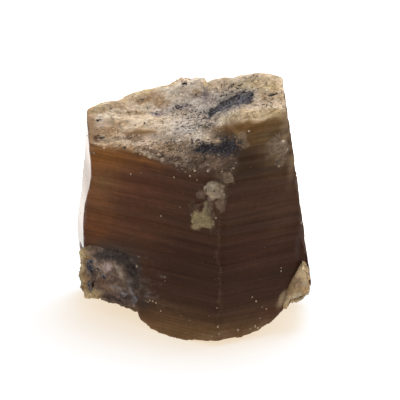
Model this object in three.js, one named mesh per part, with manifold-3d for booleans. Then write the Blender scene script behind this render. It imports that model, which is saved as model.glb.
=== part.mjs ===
// A single parisite crystal, broken at both ends, with two lumps of its matrix still attached.
//
// The crystal is a tapering six-sided column whose faces step in and out in fine growth bands.
// Its upper end is a rough slanting break, and its lower end a bulging break with a small flat
// that it stands on. Millimetres, +Z up along the crystal, and the origin is at the bottom
// centre of the bounding box.

import * as THREE from "three";
import { mergeVertices } from "three/addons/utils/BufferGeometryUtils.js";
import Module from "manifold-3d";

const wasm = await Module();
wasm.setup();

const { degToRad, lerp, smoothstep } = THREE.MathUtils;

// ---------------------------------------------------------------- driving dimensions

// The column's six faces, anticlockwise from above: the way each looks (degrees from +X), its
// distance from the Z axis at the floor, and how far it leans in for each mm of height.
const COLUMN_FACES = [
  { name: "right side", looks: 0, reach: 12.8, lean: 0.144 },
  { name: "right back", looks: 62, reach: 7.7, lean: 0.1 },
  { name: "left back", looks: 122, reach: 10.8, lean: 0.1 },
  { name: "left side", looks: 190, reach: 11.95, lean: 0.105 },
  { name: "left front", looks: 239, reach: 7.35, lean: 0.133 },
  { name: "right front", looks: 298, reach: 10.1, lean: 0.08 },
];

// Growth bands: rings where the faces step in or out a little, unevenly spaced.
const BAND_THINNEST = 0.4;
const BAND_THICKEST = 1.0;
const BAND_STEP = 0.12;
const COLUMN_BOTTOM = -1.5;
const COLUMN_TOP = 28;

// The column's facets. Roughness of any kind is a height, the size of its lumps and a seed.
const SIDE_SEGMENT = 1.7;
const CORNER_BEVEL = 0.28;
const FACE_WAVES = { height: 0.07, size: 3.5, seed: 31 };
const CORNER_WEAR = { height: 0.12, size: 1.7, seed: 41 };

// Heights of the broken upper end at spots around its rim, and then across it.
const TOP_SPOTS = [
  { x: -10.4, y: 0.2, height: 18.3 },
  { x: -8.3, y: -0.8, height: 18.4 },
  { x: -5.7, y: -2.3, height: 18.5 },
  { x: -3.2, y: -3.9, height: 18.2 },
  { x: 0.2, y: -5.9, height: 18.1 },
  { x: 2.2, y: -7.0, height: 18.6 },
  { x: 3.5, y: -7.6, height: 19.3 },
  { x: 4.9, y: -6.9, height: 22.1 },
  { x: 6.7, y: -5.8, height: 22.7 },
  { x: 8.9, y: -4.6, height: 23.4 },
  { x: 9.4, y: -1.0, height: 25.0 },
  { x: 8.4, y: 1.5, height: 25.6 },
  { x: 5.8, y: 2.8, height: 24.9 },
  { x: 3.0, y: 4.4, height: 23.8 },
  { x: 0.0, y: 5.9, height: 23.3 },
  { x: -2.8, y: 7.6, height: 21.9 },
  { x: -5.5, y: 6.6, height: 21.5 },
  { x: -8.2, y: 5.2, height: 21.1 },
  { x: -10.8, y: 3.7, height: 21.0 },
  { x: -6.0, y: 2.0, height: 19.9 },
  { x: -1.5, y: 0.5, height: 20.5 },
  { x: 2.2, y: -3.4, height: 20.7 },
  { x: 5.6, y: -3.6, height: 23.2 },
];

// Grooves and ridges of the upper end, each along a line: half width, and depth or height.
const TOP_CREASES = [
  { name: "notch in the back rim", from: [1.8, 6.5], to: [1.2, 2.2], width: 0.5, rise: -1.0 },
  { name: "gully", from: [1.4, -1.1], to: [5.9, 0.4], width: 0.8, rise: -0.55 },
  { name: "ridge beside the gully", from: [2.4, -3.2], to: [6.8, -2.0], width: 0.7, rise: 0.35 },
  { name: "hollow above the front edge", from: [0.5, -4.6], to: [3.2, -6.3], width: 0.9, rise: -0.5 },
  { name: "pit near the right corner", from: [7.5, -1.7], to: [8.2, -1.5], width: 0.4, rise: -0.5 },
  { name: "step across the left", from: [-8.5, 2.0], to: [-3.5, 0.6], width: 0.6, rise: 0.3 },
];

// Heights of the broken lower end. Where they fall below the floor it is flat.
const BASE_SPOTS = [
  { x: -11.5, y: -1.5, height: 1.9 },
  { x: -8.8, y: -3.0, height: 2.2 },
  { x: -6.1, y: -4.7, height: 2.1 },
  { x: -4.9, y: -5.4, height: 1.2 },
  { x: -3.6, y: -5.9, height: 0.1 },
  { x: -1.6, y: -7.3, height: -0.1 },
  { x: 1.0, y: -8.8, height: 0.4 },
  { x: 3.2, y: -9.3, height: 0.6 },
  { x: 5.0, y: -8.4, height: 0.4 },
  { x: 6.6, y: -7.5, height: 0.8 },
  { x: 8.2, y: -6.6, height: 1.7 },
  { x: 9.3, y: -6.0, height: 2.7 },
  { x: 10.6, y: -5.4, height: 3.4 },
  { x: 12.2, y: -4.4, height: 3.9 },
  { x: 12.6, y: 0.0, height: 2.9 },
  { x: 9.5, y: 3.5, height: 1.7 },
  { x: 4.5, y: 7.0, height: 1.3 },
  { x: -0.5, y: 9.5, height: 1.9 },
  { x: -4.2, y: 11.0, height: 2.7 },
  { x: -8.0, y: 8.0, height: 1.9 },
  { x: -12.4, y: 4.5, height: 2.4 },
  { x: -5.0, y: 0.0, height: -0.7 },
  { x: 0.0, y: -3.0, height: -1.2 },
  { x: 5.5, y: -3.0, height: -0.8 },
  { x: 1.0, y: 3.5, height: -1.0 },
  { x: -4.5, y: 4.5, height: -0.3 },
];

// How finely the two ends are faceted, and how rough and worn they are.
const END_CELL = 0.9;
const RIM_WEAR = 0.45;
const RIM_WEAR_WIDTH = 0.5;
const TOP_LUMPS = { height: 0.3, size: 2.2, seed: 51 };
const TOP_GRAINS = { height: 0.22, size: 0.9, seed: 53 };
const BASE_LUMPS = { height: 0.3, size: 2.1, seed: 61 };
const FLAT_BELOW = 0.1;
const ROUGH_ABOVE = 1.2;

// Stones are rounded lumps: half sizes along their own axes, which lean over about Y (the top
// going to +X) and then turn about Z. A chip is a stone broken out of the column.
const CHIPS = [
  { name: "lower left", centre: [-13.9, 3.6, 3.4], halves: [2.4, 6.4, 4.4], turned: 10, seed: 71 },
  { name: "lower right", centre: [14.3, -2.2, 2.6], halves: [2.3, 4.4, 4.2], leans: 12, seed: 73 },
];

// The lumps of matrix fill broken corners of the column. Proud is how far a lump stands out of
// the column's faces, and the gap is the thin seam between lump and crystal.
const MATRIX_LEFT = {
  name: "matrix_left",
  centre: [-8.3, -1.7, 4.3],
  halves: [3.75, 2.4, 3.05],
  turned: -31,
  proud: -0.05,
  seed: 11,
};
const MATRIX_RIGHT = {
  name: "matrix_right",
  centre: [10.9, -3.6, 4.3],
  halves: [1.2, 2.9, 2.9],
  leans: 32,
  turned: 8,
  proud: 0.35,
  seed: 23,
};
const SEAM_GAP = 0.25;
const MATRIX_GRAIN = { height: 0.3, size: 1.1, seed: 37 };
const SMOOTH = { height: 0, size: 1, seed: 0 };

// Pits in the face of the left lump, shaped like stones.
const MATRIX_PITS = [
  { centre: [-10.3, -1.75, 4.3], halves: [0.5, 0.55, 1.4], turned: -31, seed: 81 },
  { centre: [-9.1, -2.6, 4.9], halves: [0.55, 0.4, 0.45], turned: -31, seed: 83 },
];

// Scabs of crust cling to the column and are one with it.
const CRUST_SCABS = [
  { centre: [2.2, -7.45, 15.9], halves: [0.95, 0.5, 0.95], turned: -31, seed: 3 },
  { centre: [2.7, -7.9, 14.8], halves: [0.7, 0.4, 0.6], turned: -31, seed: 4 },
  { centre: [1.0, -7.2, 13.2], halves: [1.05, 0.45, 1.2], turned: -31, leans: -20, seed: 5 },
  { centre: [3.6, -8.0, 17.5], halves: [0.6, 0.4, 0.5], turned: -31, seed: 7 },
  { centre: [8.5, -4.75, 19.6], halves: [1.1, 0.5, 1.7], turned: 28, seed: 9 },
];

// Stones' roughness is a part of their own size.
const STONE_ROUGHNESS = { height: 0.11, size: 0.45 };
const STONE_BOXINESS = 3;

// How many times the sides of an icosahedron are parted to make each kind of stone, and how
// far simplifying may move a surface.
const CHIP_DETAIL = 6;
const MATRIX_DETAIL = 5;
const SMALL_DETAIL = 2;
const SIMPLIFY_WITHIN = 0.02;

// ---------------------------------------------------------------- repeatable randomness

// A number from 0 to 1 that depends only on the whole numbers given.
function randomAt(...cell) {
  let bits = 374761393;
  for (const value of cell) {
    bits = Math.imul(bits ^ Math.imul(value | 0, 668265263), 2246822519);
    bits ^= bits >>> 13;
  }
  bits = Math.imul(bits ^ (bits >>> 15), 3266489917);
  return ((bits ^ (bits >>> 16)) >>> 0) / 4294967295;
}

// Smooth noise from -1 to 1 that changes over about one unit.
function noise(x, y, z, seed) {
  const cell = [x, y, z].map(Math.floor);
  const ease = [x, y, z].map((value, axis) => smoothstep(value - cell[axis], 0, 1));
  let sum = 0;
  for (let corner = 0; corner < 8; corner++) {
    const step = [corner & 1, (corner >> 1) & 1, corner >> 2];
    const weight = step.reduce((w, up, axis) => w * (up ? ease[axis] : 1 - ease[axis]), 1);
    sum += weight * randomAt(cell[0] + step[0], cell[1] + step[1], cell[2] + step[2], seed);
  }
  return 2 * sum - 1;
}

function roughness({ height, size, seed }, x, y, z) {
  return height * noise(x / size, y / size, z / size, seed);
}

// ---------------------------------------------------------------- solids and geometries

function toSolid(geometry) {
  const bare = geometry.clone();
  bare.deleteAttribute("normal");
  bare.deleteAttribute("uv");
  const merged = mergeVertices(bare, 1e-4);
  const vertProperties = new Float32Array(merged.attributes.position.array);
  const triVerts = new Uint32Array(merged.index.array);
  return new wasm.Manifold(new wasm.Mesh({ numProp: 3, vertProperties, triVerts }));
}

function toGeometry(solid) {
  const mesh = solid.getMesh();
  const geometry = new THREE.BufferGeometry();
  geometry.setAttribute("position", new THREE.BufferAttribute(mesh.vertProperties, 3));
  geometry.setIndex(new THREE.BufferAttribute(mesh.triVerts, 1));
  return geometry.toNonIndexed();
}

// The biggest body of a solid, without the crumbs that cutting can leave beside it.
function withoutCrumbs(solid) {
  const bodies = solid.decompose();
  return bodies.reduce((biggest, body) => (body.volume() > biggest.volume() ? body : biggest));
}

function solidOf(positions, faces) {
  const geometry = new THREE.BufferGeometry();
  geometry.setAttribute("position", new THREE.Float32BufferAttribute(positions, 3));
  geometry.setIndex(faces);
  return toSolid(geometry);
}

// Triangles between rows of points, all of one length; a closed row joins its own ends.
function skinFaces(rows, columns, closed, start) {
  const faces = [];
  const last = closed ? columns : columns - 1;
  for (let row = 0; row < rows - 1; row++) {
    for (let column = 0; column < last; column++) {
      const a = start + row * columns + column;
      const b = start + row * columns + ((column + 1) % columns);
      faces.push(a, b, b + columns, a, b + columns, a + columns);
    }
  }
  return faces;
}

// ---------------------------------------------------------------- the banded column

const faceCount = COLUMN_FACES.length;
const faceNormals = COLUMN_FACES.map(({ looks }) => {
  const angle = degToRad(looks);
  return new THREE.Vector2(Math.cos(angle), Math.sin(angle));
});

function reachAt(face, z) {
  return face.reach - face.lean * z;
}

// Where the faces' planes cross at the level z: the corner after each face, anticlockwise.
function cornersAt(z) {
  return COLUMN_FACES.map((face, i) => {
    const next = (i + 1) % faceCount;
    const a = faceNormals[i];
    const b = faceNormals[next];
    const ra = reachAt(face, z);
    const rb = reachAt(COLUMN_FACES[next], z);
    const cross = a.cross(b);
    return new THREE.Vector2((ra * b.y - rb * a.y) / cross, (rb * a.x - ra * b.x) / cross);
  });
}

// How far the point (x, y) at height z lies inside the nearest of the column's faces.
function depthInColumn(x, y, z) {
  const spot = new THREE.Vector2(x, y);
  return Math.min(...COLUMN_FACES.map((face, i) => reachAt(face, z) - faceNormals[i].dot(spot)));
}

// The levels where one growth band meets the next, and how far the faces stand out at each.
function bandRings() {
  const rings = [];
  let z = COLUMN_BOTTOM;
  for (let band = 0; z < COLUMN_TOP; band++) {
    const side = band % 2 ? 1 : -1;
    rings.push({ z, step: side * BAND_STEP * randomAt(band, 2) });
    z += lerp(BAND_THINNEST, BAND_THICKEST, randomAt(band, 1));
  }
  return rings;
}

// The parts of the way along a face at which its points lie, the first of them at its corner.
function faceFractions(length, count) {
  const bevel = CORNER_BEVEL / length;
  const fractions = [0];
  for (let k = 0; k < count; k++) fractions.push(lerp(bevel, 1 - bevel, k / (count - 1)));
  return fractions;
}

const MIDDLE_HEIGHT = 10;
const pointsPerFace = cornersAt(MIDDLE_HEIGHT).map((corner, i, all) => {
  const length = corner.distanceTo(all[(i + faceCount - 1) % faceCount]);
  return Math.max(4, Math.round(length / SIDE_SEGMENT) + 1);
});

// The wear of a corner of the column: more or less at different heights, but never a bulge.
function cornerWear(corner, z) {
  return CORNER_WEAR.height + roughness(CORNER_WEAR, 10 * corner, 0, z);
}

// One ring of the column's points, its faces moved out by proud and made rough by grain.
function ringPoints({ z, step }, proud, grain) {
  const corners = cornersAt(z);
  const points = [];
  COLUMN_FACES.forEach((face, i) => {
    const before = (i + faceCount - 1) % faceCount;
    const length = corners[before].distanceTo(corners[i]);
    const miter = faceNormals[before].clone().add(faceNormals[i]);
    miter.multiplyScalar(2 / miter.lengthSq());
    faceFractions(length, pointsPerFace[i]).forEach((fraction, k) => {
      const point = corners[before].clone().lerp(corners[i], fraction);
      let out = proud + step;
      out += roughness(FACE_WAVES, point.x, point.y, z);
      out += roughness(grain, point.x, point.y, z);
      if (k === 0) point.addScaledVector(miter, out - cornerWear(i, z));
      else point.addScaledVector(faceNormals[i], out);
      points.push(point.x, point.y, z);
    });
  });
  return points;
}

function columnSolid(proud, grain) {
  const rings = bandRings();
  const positions = rings.flatMap((ring) => ringPoints(ring, proud, grain));
  const columns = positions.length / 3 / rings.length;
  const faces = skinFaces(rings.length, columns, true, 0);
  const bottomCentre = rings.length * columns;
  const topRow = bottomCentre - columns;
  positions.push(0, 0, rings[0].z, 0, 0, rings.at(-1).z);
  for (let k = 0; k < columns; k++) {
    const next = (k + 1) % columns;
    faces.push(next, k, bottomCentre);
    faces.push(topRow + k, topRow + next, bottomCentre + 1);
  }
  return solidOf(positions, faces);
}

// ---------------------------------------------------------------- the two broken ends

// Height at (x, y) blended from the spots, the nearest counting most.
function blendSpots(spots, x, y) {
  const softness = 0.35;
  let sum = 0;
  let total = 0;
  for (const spot of spots) {
    const distanceSq = (x - spot.x) ** 2 + (y - spot.y) ** 2;
    const weight = (distanceSq + softness) ** -1.9;
    sum += weight * spot.height;
    total += weight;
  }
  return sum / total;
}

// The rise or fall at (x, y) of a crease that runs along the line between two points.
function creaseRise({ from, to, width, rise }, x, y) {
  const start = new THREE.Vector3(...from, 0);
  const end = new THREE.Vector3(...to, 0);
  const spot = new THREE.Vector3(x, y, 0);
  const nearest = new THREE.Line3(start, end).closestPointToPoint(spot, true, new THREE.Vector3());
  return rise * Math.exp(-((nearest.distanceTo(spot) / width) ** 2));
}

function rimWear(x, y, z) {
  return RIM_WEAR * Math.exp(-Math.max(0, depthInColumn(x, y, z)) / RIM_WEAR_WIDTH);
}

function topHeight(x, y) {
  const smooth = blendSpots(TOP_SPOTS, x, y);
  const creases = TOP_CREASES.reduce((sum, crease) => sum + creaseRise(crease, x, y), 0);
  const lumps = roughness(TOP_LUMPS, x, y, 0);
  const grains = roughness(TOP_GRAINS, x, y, 0);
  return smooth + creases + lumps + grains - rimWear(x, y, smooth);
}

function baseHeight(x, y) {
  const smooth = blendSpots(BASE_SPOTS, x, y);
  const broken = smoothstep(smooth, FLAT_BELOW, ROUGH_ABOVE);
  return Math.max(0, smooth + broken * roughness(BASE_LUMPS, x, y, 0));
}

// The slab between the two breaks, wider than the column, that the column is cut to.
function breaksSolid() {
  const half = 15;
  const cells = Math.round((2 * half) / END_CELL);
  const columns = cells + 1;
  const positions = [];
  for (const heightAt of [baseHeight, topHeight]) {
    for (let row = 0; row <= cells; row++) {
      for (let column = 0; column <= cells; column++) {
        const x = lerp(-half, half, column / cells);
        const y = lerp(-half, half, row / cells);
        positions.push(x, y, heightAt(x, y));
      }
    }
  }
  const layer = columns * columns;
  const upper = skinFaces(columns, columns, false, layer);
  const lower = upper.map((index) => index - layer).reverse();
  const rim = [];
  for (let k = 0; k < cells; k++) rim.push(k);
  for (let k = 0; k < cells; k++) rim.push(k * columns + cells);
  for (let k = cells; k > 0; k--) rim.push(cells * columns + k);
  for (let k = cells; k > 0; k--) rim.push(k * columns);
  const walls = rim.flatMap((a, k) => {
    const b = rim[(k + 1) % rim.length];
    return [a, b, b + layer, a, b + layer, a + layer];
  });
  return solidOf(positions, [...upper, ...lower, ...walls]);
}

// ---------------------------------------------------------------- stones

// A rounded, slightly boxy stone with a rough surface; grown makes it that much bigger.
function stoneSolid({ centre, halves, leans = 0, turned = 0, seed }, detail, grown = 0) {
  const geometry = new THREE.IcosahedronGeometry(1, detail);
  const position = geometry.attributes.position;
  const ray = new THREE.Vector3();
  for (let k = 0; k < position.count; k++) {
    ray.fromBufferAttribute(position, k).normalize();
    const powers = ray.toArray().map((value) => Math.abs(value) ** STONE_BOXINESS);
    const boxy = (powers[0] + powers[1] + powers[2]) ** (-1 / STONE_BOXINESS);
    const size = boxy * (1 + roughness({ ...STONE_ROUGHNESS, seed }, ...ray.toArray()));
    const reach = halves.map((half) => half * size + grown);
    position.setXYZ(k, ray.x * reach[0], ray.y * reach[1], ray.z * reach[2]);
  }
  geometry.rotateY(degToRad(leans));
  geometry.rotateZ(degToRad(turned));
  geometry.translate(...centre);
  return toSolid(geometry);
}

// A lump of matrix: as much of its stone as lies within the column's slightly swollen faces,
// broken off below with the column, and pitted.
function matrixSolid(lump, pits) {
  let solid = stoneSolid(lump, MATRIX_DETAIL);
  solid = solid.intersect(columnSolid(lump.proud, MATRIX_GRAIN)).intersect(breaksSolid());
  for (const pit of pits) solid = solid.subtract(stoneSolid(pit, SMALL_DETAIL));
  return withoutCrumbs(solid.simplify(SIMPLIFY_WITHIN));
}

function crystalSolid() {
  let crystal = columnSolid(0, SMOOTH).intersect(breaksSolid());
  for (const chip of CHIPS) crystal = crystal.subtract(stoneSolid(chip, CHIP_DETAIL));
  for (const scab of CRUST_SCABS) crystal = crystal.add(stoneSolid(scab, SMALL_DETAIL));
  for (const lump of [MATRIX_LEFT, MATRIX_RIGHT]) {
    crystal = crystal.subtract(stoneSolid(lump, MATRIX_DETAIL, SEAM_GAP));
  }
  return withoutCrumbs(crystal.simplify(SIMPLIFY_WITHIN));
}

// ---------------------------------------------------------------- the specimen

const parisite = new THREE.MeshStandardMaterial({ color: 0x5a3b2c, roughness: 0.45 });
const matrix = new THREE.MeshStandardMaterial({ color: 0xa98f6e, roughness: 0.85 });

function namedMesh(name, solid, material) {
  const geometry = toGeometry(solid);
  geometry.computeVertexNormals();
  const mesh = new THREE.Mesh(geometry, material);
  mesh.name = name;
  return mesh;
}

const specimen = new THREE.Group();
specimen.add(namedMesh("crystal", crystalSolid(), parisite));
specimen.add(namedMesh(MATRIX_LEFT.name, matrixSolid(MATRIX_LEFT, MATRIX_PITS), matrix));
specimen.add(namedMesh(MATRIX_RIGHT.name, matrixSolid(MATRIX_RIGHT, []), matrix));

// Bring the bottom centre of the whole specimen to the origin.
const bounds = new THREE.Box3().setFromObject(specimen);
const middle = bounds.getCenter(new THREE.Vector3());
for (const mesh of specimen.children) {
  mesh.geometry.translate(-middle.x, -middle.y, -bounds.min.z);
}

export default specimen;
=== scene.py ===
"""A broken parisite crystal with remains of its matrix: the looks.

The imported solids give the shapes. Here each one is remeshed finely, roughened and marked in
numpy, and given procedural materials. Lengths are in millimetres until a mesh is finished,
because the features are small, and metres after that.
"""

import math

import bmesh
import bpy
import numpy as np
from mathutils import Matrix, Vector
from mathutils.bvhtree import BVHTree


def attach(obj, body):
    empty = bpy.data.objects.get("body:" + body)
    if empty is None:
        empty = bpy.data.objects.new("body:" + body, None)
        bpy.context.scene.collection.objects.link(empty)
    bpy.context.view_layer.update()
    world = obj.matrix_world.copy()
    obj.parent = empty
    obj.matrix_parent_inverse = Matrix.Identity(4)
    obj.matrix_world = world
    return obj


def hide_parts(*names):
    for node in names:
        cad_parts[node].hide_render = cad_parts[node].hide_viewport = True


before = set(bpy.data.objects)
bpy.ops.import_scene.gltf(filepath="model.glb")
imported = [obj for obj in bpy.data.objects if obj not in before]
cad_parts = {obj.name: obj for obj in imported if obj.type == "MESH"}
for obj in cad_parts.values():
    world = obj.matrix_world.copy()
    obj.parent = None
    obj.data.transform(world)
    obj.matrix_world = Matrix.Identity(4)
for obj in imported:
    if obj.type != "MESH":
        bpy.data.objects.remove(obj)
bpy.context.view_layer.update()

MM = 0.001


def placed(name, data):
    """A new object in the scene."""
    item = bpy.data.objects.new(name, data)
    bpy.context.scene.collection.objects.link(item)
    return item


# ---- the camera

# The camera looks down on the crystal's front, over a long distance for its size. The scale in
# pixels holds at the target.
ELEVATION = math.radians(21.5)
DISTANCE = 240.0
TARGET = np.array([0.679, -1.760, 12.6])
FRAME_PIXELS = 400
PIXELS_PER_MM = 9.83
SENSOR = 36.0
LENS = PIXELS_PER_MM * DISTANCE * SENSOR / FRAME_PIXELS

TOWARDS_EYE = np.array([0.0, -math.cos(ELEVATION), math.sin(ELEVATION)])
EYE = TARGET + DISTANCE * TOWARDS_EYE
EYE_RIGHT = np.array([1.0, 0.0, 0.0])
EYE_UP = np.cross(TOWARDS_EYE, EYE_RIGHT)


def make_camera():
    data = bpy.data.cameras.new("camera")
    data.lens = LENS
    data.sensor_width = SENSOR
    data.clip_start = 0.01
    camera = placed("camera", data)
    camera.location = Vector(EYE) * MM
    camera.rotation_euler = (math.pi / 2 - ELEVATION, 0, 0)
    bpy.context.scene.camera = camera


# ---- repeatable noise

# Odd factors that scatter a cell's place and its seed over 32 bits.
PLACE_FACTORS = (374761393, 668265263, 2246822519)
SEED_FACTOR = 3266489917
SCATTER_STEPS = ((13, 1274126177), (16, 2654435761), (15, 1))
LOW_32_BITS = np.uint64(0xFFFFFFFF)
LOW_24_BITS = 0xFFFFFF
OCTAVES = 3


def lattice_value(cell, seed):
    """A number from 0 to 1 for each whole-number cell."""
    cell = cell.astype(np.int64).astype(np.uint64)
    bits = np.full(len(cell), seed * SEED_FACTOR, dtype=np.uint64)
    for axis, factor in enumerate(PLACE_FACTORS):
        bits += cell[:, axis] * np.uint64(factor)
    bits &= LOW_32_BITS
    for shift, factor in SCATTER_STEPS:
        bits = ((bits ^ (bits >> np.uint64(shift))) * np.uint64(factor)) & LOW_32_BITS
    return (bits & np.uint64(LOW_24_BITS)).astype(float) / LOW_24_BITS


def noise(points, size, seed):
    """Smooth noise from -1 to 1 whose lumps are as big as size, one number or three."""
    scaled = points / size
    cell = np.floor(scaled)
    part = scaled - cell
    part = part * part * (3 - 2 * part)
    total = np.zeros(len(points))
    for corner in np.ndindex(2, 2, 2):
        weight = np.prod(np.where(corner, part, 1 - part), axis=1)
        total += weight * lattice_value(cell + corner, seed)
    return 2 * total - 1


def fractal(points, size, seed):
    """Noise with finer and fainter noise on it."""
    total = np.zeros(len(points))
    for octave in range(OCTAVES):
        total += noise(points, np.asarray(size) / 2**octave, seed + octave) / 2**octave
    return total / (2 - 2 ** (1 - OCTAVES))


def smooth(low, high, value):
    """From 0 at low to 1 at high, with soft ends."""
    part = np.clip((value - low) / (high - low), 0, 1)
    return part * part * (3 - 2 * part)


# ---- meshes

WELD_DISTANCE = 1e-4


def welded_copy(node):
    """The node's mesh in millimetres, with its shared vertices merged."""
    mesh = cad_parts[node].data.copy()
    mesh.transform(Matrix.Scale(1 / MM, 4))
    work = bmesh.new()
    work.from_mesh(mesh)
    bmesh.ops.remove_doubles(work, verts=work.verts, dist=WELD_DISTANCE)
    work.to_mesh(mesh)
    work.free()
    return mesh


def remeshed(mesh, voxel):
    """A fine, even mesh of the same shape."""
    holder = placed("holder", mesh)
    modifier = holder.modifiers.new("voxels", "REMESH")
    modifier.mode = "VOXEL"
    modifier.voxel_size = voxel
    ready = holder.evaluated_get(bpy.context.evaluated_depsgraph_get())
    fine = bpy.data.meshes.new_from_object(ready)
    bpy.data.objects.remove(holder)
    return fine


def unit(vectors):
    return vectors / np.linalg.norm(vectors, axis=1)[:, None]


def measured(mesh):
    """The mesh's points, its normals, and the pairs of vertices that its edges join."""
    points, normals = np.empty((2, len(mesh.vertices) * 3))
    mesh.vertices.foreach_get("co", points)
    mesh.vertices.foreach_get("normal", normals)
    edges = np.empty(len(mesh.edges) * 2, dtype=np.int64)
    mesh.edges.foreach_get("vertices", edges)
    return points.reshape(-1, 3), normals.reshape(-1, 3), edges.reshape(-1, 2)


def blurred(values, edges, times):
    """Values on vertices, averaged with their neighbours' again and again."""
    count = np.bincount(edges.ravel(), minlength=len(values)).astype(float)
    for _ in range(times):
        total = np.zeros_like(values)
        np.add.at(total, edges[:, 0], values[edges[:, 1]])
        np.add.at(total, edges[:, 1], values[edges[:, 0]])
        mean = total / (count[:, None] if values.ndim == 2 else count)
        values = 0.5 * values + 0.5 * mean
    return values


def keep_tone(mesh, colours):
    """Stores a screen colour per vertex, for the materials to read as light."""
    attribute = mesh.attributes.new("tone", "FLOAT_COLOR", "POINT")
    values = np.pad(linear(colours), ((0, 0), (0, 1)), constant_values=1)
    attribute.data.foreach_set("color", values.astype(np.float32).ravel())


def dress(mesh, points, tones, **fields):
    """Moves the vertices, and stores their tones and each field's numbers for the materials."""
    mesh.vertices.foreach_set("co", points.ravel())
    mesh.update()
    keep_tone(mesh, tones)
    for name, values in fields.items():
        attribute = mesh.attributes.new(name, "FLOAT", "POINT")
        attribute.data.foreach_set("value", np.asarray(values, dtype=np.float32))


def finish_piece(name, mesh, *materials, node=None, slot=None):
    """Turns a finished mesh into a piece that rides on the one body."""
    mesh.transform(Matrix.Scale(MM, 4))
    mesh.name = name
    mesh.materials.clear()
    for material in materials:
        mesh.materials.append(material)
    mesh.polygons.foreach_set("use_smooth", [node is not None] * len(mesh.polygons))
    piece = placed(name, mesh)
    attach(piece, "root")
    if node:
        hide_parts(node)


# ---- placing marks


def surface_tree():
    """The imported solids' surface in millimetres, to find what lies behind a spot of the view."""
    points, faces = [], []
    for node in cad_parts.values():
        start = len(points)
        points += [vertex.co / MM for vertex in node.data.vertices]
        faces += [[start + index for index in face.vertices] for face in node.data.polygons]
    return BVHTree.FromPolygons(points, faces)


SURFACE = surface_tree()


def spot_at(x, y):
    """The point of the specimen that shows at a pixel of the photograph's frame."""
    across = (x - FRAME_PIXELS / 2) / (PIXELS_PER_MM * DISTANCE)
    up = (FRAME_PIXELS / 2 - y) / (PIXELS_PER_MM * DISTANCE)
    ray = -TOWARDS_EYE + across * EYE_RIGHT + up * EYE_UP
    hit, normal, _, _ = SURFACE.ray_cast(Vector(EYE), Vector(ray).normalized())
    if hit is None:
        raise ValueError(f"nothing lies behind pixel {x}, {y}")
    return np.array(hit), np.array(normal)


# A mark is an oval on the view: its middle and half sizes in pixels, its turn in degrees, and how
# far in millimetres it reaches along the look. Where that isn't given, it reaches this much
# farther than it's long, and its height stands for this many times as much on the level top.
MARK_DEPTH = 1.5
TOP_STRETCH = 2.5
# Washes have streaky edges.
STREAK_SHARE = 0.3
STREAK_SIZE = (5, 5, 0.6)


def mark_distance(points, x, y, half_width, half_height, turn=0.0, depth=None):
    """How far points lie from the mark laid on the surface, 1 at its edge."""
    away = points - spot_at(x, y)[0]
    turned = math.radians(turn)
    along = math.cos(turned) * EYE_RIGHT + math.sin(turned) * EYE_UP
    across = -math.sin(turned) * EYE_RIGHT + math.cos(turned) * EYE_UP
    u = away @ along * PIXELS_PER_MM / half_width
    v = away @ across * PIXELS_PER_MM / half_height
    longest = max(half_width, TOP_STRETCH * half_height)
    w = away @ TOWARDS_EYE / (depth or MARK_DEPTH + longest / PIXELS_PER_MM)
    return np.sqrt(u * u + v * v + w * w)


def marked(points, marks, soft=1.0):
    """From 1 inside the nearest mark, through 0.5 at its edge, to 0 outside."""
    field = np.zeros(len(points))
    for mark in marks.values():
        distance = mark_distance(points, *mark)
        field = np.maximum(field, np.clip(0.5 + (1 - distance) * 0.5 / soft, 0, 1))
    return field


def eased(points, marks, soft):
    """What marked gives, with soft ends."""
    return smooth(0, 1, marked(points, marks, soft))


def wobbled(points, seed, reach=0.25, size=0.6):
    """Points moved a little in all directions, so that what is laid on them has ragged edges."""
    shift = [noise(points, size, seed + axis) for axis in range(3)]
    return points + reach * np.stack(shift, axis=1)


class Wash:
    """A colour laid over named marks: how strong it is, and how soft the marks' edges are."""

    def __init__(self, colour, strength, soft=0.9, **marks):
        self.colour = colour
        self.strength = strength
        self.soft = soft
        self.marks = marks

    def over(self, points):
        """What marked gives for its marks."""
        return marked(points, self.marks, self.soft)


def washed(colours, points, washes):
    """Colours from 0 to 255 as seen on a screen, each wash laid over the last."""
    streak = STREAK_SHARE * fractal(points, STREAK_SIZE, seed=71)
    for wash in washes.values():
        field = wash.over(points)
        field = smooth(0, 1, field + streak * smooth(0, 0.4, field))
        colours = mixed(colours, wash.colour, wash.strength * field)
    return colours


def mixed(first, second, share):
    return first + share[:, None] * (np.asarray(second, dtype=float) - first)


def by_level(value, stops):
    """A colour for each value, between the stops' colours."""
    levels, colours = zip(*stops)
    return np.stack([np.interp(value, levels, part) for part in zip(*colours)], axis=1)


# ---- materials


def linear(colours):
    """Screen colours from 0 to 255 as amounts of light from 0 to 1."""
    parts = np.clip(np.asarray(colours, dtype=float) / 255, 0, 1)
    return np.where(parts <= 0.04045, parts / 12.92, ((parts + 0.055) / 1.055) ** 2.4)


def srgb(colour):
    return (*linear(colour).tolist(), 1.0)


# Most of what a noise node gives lies between these.
NOISE_RANGE = (0.3, 0.7)


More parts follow.
